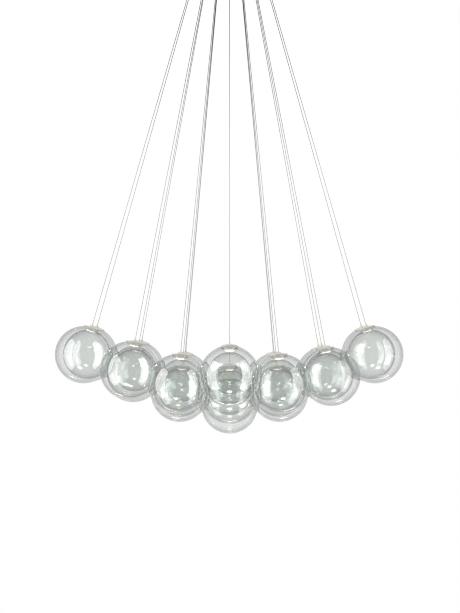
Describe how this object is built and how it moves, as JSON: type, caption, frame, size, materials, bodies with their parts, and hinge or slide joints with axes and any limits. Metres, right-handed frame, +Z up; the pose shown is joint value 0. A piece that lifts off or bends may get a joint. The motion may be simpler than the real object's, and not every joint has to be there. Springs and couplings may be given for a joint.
{
  "type": "cluster pendant light",
  "caption": "Cluster pendant light: clear glass globes gathered in a shallow bowl, each hung by a thin cable from a round ceiling canopy and lit by a disc under its domed metal cap.",
  "frame": {"origin": "middle of the ceiling plate's top face, where it meets the ceiling", "axes": "+Z up towards the ceiling, -Y towards the viewer of the picture, +X to that viewer's right"},
  "size_m": [0.8505, 0.7032, 1.184],
  "materials": {
    "clear_glass": "clear blown glass, polished",
    "cap_metal": "satin champagne nickel plating",
    "carrier_metal": "turned, champagne anodised",
    "cable_jacket": "grey jacketed low-voltage cable",
    "opal_lens": "opal diffuser, lit warm white",
    "board": "white solder mask",
    "seal_silicone": "translucent silicone",
    "spring_steel": "stamped stainless spring",
    "canopy_metal": "spun, satin champagne nickel plating",
    "plate_steel": "zinc plated steel",
    "screw_metal": "nickel plated",
    "driver_plastic": "moulded white",
    "terminal_plastic": "moulded",
    "black_rubber": "moulded"
  },
  "bodies": {
    "root": {"ceiling_plate": "plate_steel", "canopy_cover": "canopy_metal", "cover_screws": "screw_metal", "mains_grommet": "black_rubber", "led_driver": "driver_plastic", "terminal_block": "terminal_plastic", "cable_grips": "cap_metal", "grip_nuts": "screw_metal", "cable_tails": "cable_jacket", "inner_globes": "clear_glass", "inner_cable_boots": "cap_metal", "inner_caps": "cap_metal", "inner_seal_rings": "seal_silicone", "inner_globe_clips": "spring_steel", "inner_led_carriers": "carrier_metal", "inner_led_boards": "board", "inner_led_lenses": "opal_lens", "inner_cables": "cable_jacket"},
    "middle_front": {"middle_front_globe": "clear_glass", "middle_front_head": "cap_metal", "middle_front_cable": "cable_jacket"},
    "middle_back": {"middle_back_globe": "clear_glass", "middle_back_head": "cap_metal", "middle_back_cable": "cable_jacket"},
    "left_inner_front": {"left_inner_front_globe": "clear_glass", "left_inner_front_head": "cap_metal", "left_inner_front_cable": "cable_jacket"},
    "left_inner_back": {"left_inner_back_globe": "clear_glass", "left_inner_back_head": "cap_metal", "left_inner_back_cable": "cable_jacket"},
    "left_outer_front": {"left_outer_front_globe": "clear_glass", "left_outer_front_head": "cap_metal", "left_outer_front_cable": "cable_jacket"},
    "left_outer_back": {"left_outer_back_globe": "clear_glass", "left_outer_back_head": "cap_metal", "left_outer_back_cable": "cable_jacket"},
    "left_end_front": {"left_end_front_globe": "clear_glass", "left_end_front_head": "cap_metal", "left_end_front_cable": "cable_jacket"},
    "left_end_back": {"left_end_back_globe": "clear_glass", "left_end_back_head": "cap_metal", "left_end_back_cable": "cable_jacket"},
    "right_inner_front": {"right_inner_front_globe": "clear_glass", "right_inner_front_head": "cap_metal", "right_inner_front_cable": "cable_jacket"},
    "right_inner_back": {"right_inner_back_globe": "clear_glass", "right_inner_back_head": "cap_metal", "right_inner_back_cable": "cable_jacket"},
    "right_outer_front": {"right_outer_front_globe": "clear_glass", "right_outer_front_head": "cap_metal", "right_outer_front_cable": "cable_jacket"},
    "right_outer_back": {"right_outer_back_globe": "clear_glass", "right_outer_back_head": "cap_metal", "right_outer_back_cable": "cable_jacket"},
    "right_end_front": {"right_end_front_globe": "clear_glass", "right_end_front_head": "cap_metal", "right_end_front_cable": "cable_jacket"},
    "right_end_back": {"right_end_back_globe": "clear_glass", "right_end_back_head": "cap_metal", "right_end_back_cable": "cable_jacket"}
  },
  "joints": [
    {"name": "middle_front_swing", "type": "hinge", "parent": "root", "child": "middle_front", "pos_m": [0, -0.07071, -0.06305], "axis": [-1, 0, 0], "range_deg": [0, 15]},
    {"name": "middle_back_swing", "type": "hinge", "parent": "root", "child": "middle_back", "pos_m": [0, 0.07071, -0.06305], "axis": [1, 0, 0], "range_deg": [0, 15]},
    {"name": "left_inner_front_swing", "type": "hinge", "parent": "root", "child": "left_inner_front", "pos_m": [-0.03015, -0.05223, -0.06305], "axis": [-0.887, 0.4617, 0.0081], "range_deg": [0, 15]},
    {"name": "left_inner_back_swing", "type": "hinge", "parent": "root", "child": "left_inner_back", "pos_m": [-0.03015, 0.05223, -0.06305], "axis": [0.887, 0.4617, -0.0081], "range_deg": [0, 15]},
    {"name": "left_outer_front_swing", "type": "hinge", "parent": "root", "child": "left_outer_front", "pos_m": [-0.06076, -0.03563, -0.06305], "axis": [-0.8393, 0.5347, 0.0981], "range_deg": [0, 15]},
    {"name": "left_outer_back_swing", "type": "hinge", "parent": "root", "child": "left_outer_back", "pos_m": [-0.06076, 0.03563, -0.06305], "axis": [0.8393, 0.5347, -0.0981], "range_deg": [0, 15]},
    {"name": "left_end_front_swing", "type": "hinge", "parent": "root", "child": "left_end_front", "pos_m": [-0.09283, -0.01834, -0.06305], "axis": [-0.1938, 0.981, 0], "range_deg": [0, 15]},
    {"name": "left_end_back_swing", "type": "hinge", "parent": "root", "child": "left_end_back", "pos_m": [-0.09283, 0.01834, -0.06305], "axis": [0.1938, 0.981, 0], "range_deg": [0, 15]},
    {"name": "right_inner_front_swing", "type": "hinge", "parent": "root", "child": "right_inner_front", "pos_m": [0.03015, -0.05223, -0.06305], "axis": [-0.887, -0.4617, -0.0081], "range_deg": [0, 15]},
    {"name": "right_inner_back_swing", "type": "hinge", "parent": "root", "child": "right_inner_back", "pos_m": [0.03015, 0.05223, -0.06305], "axis": [0.887, -0.4617, 0.0081], "range_deg": [0, 15]},
    {"name": "right_outer_front_swing", "type": "hinge", "parent": "root", "child": "right_outer_front", "pos_m": [0.06077, -0.03522, -0.06305], "axis": [-0.8393, -0.5347, -0.0988], "range_deg": [0, 15]},
    {"name": "right_outer_back_swing", "type": "hinge", "parent": "root", "child": "right_outer_back", "pos_m": [0.06077, 0.03522, -0.06305], "axis": [0.8393, -0.5347, 0.0988], "range_deg": [0, 15]},
    {"name": "right_end_front_swing", "type": "hinge", "parent": "root", "child": "right_end_front", "pos_m": [0.09227, -0.01834, -0.06305], "axis": [-0.195, -0.9808, 0], "range_deg": [0, 15]},
    {"name": "right_end_back_swing", "type": "hinge", "parent": "root", "child": "right_end_back", "pos_m": [0.09227, 0.01834, -0.06305], "axis": [0.195, -0.9808, 0], "range_deg": [0, 15]}
  ]
}
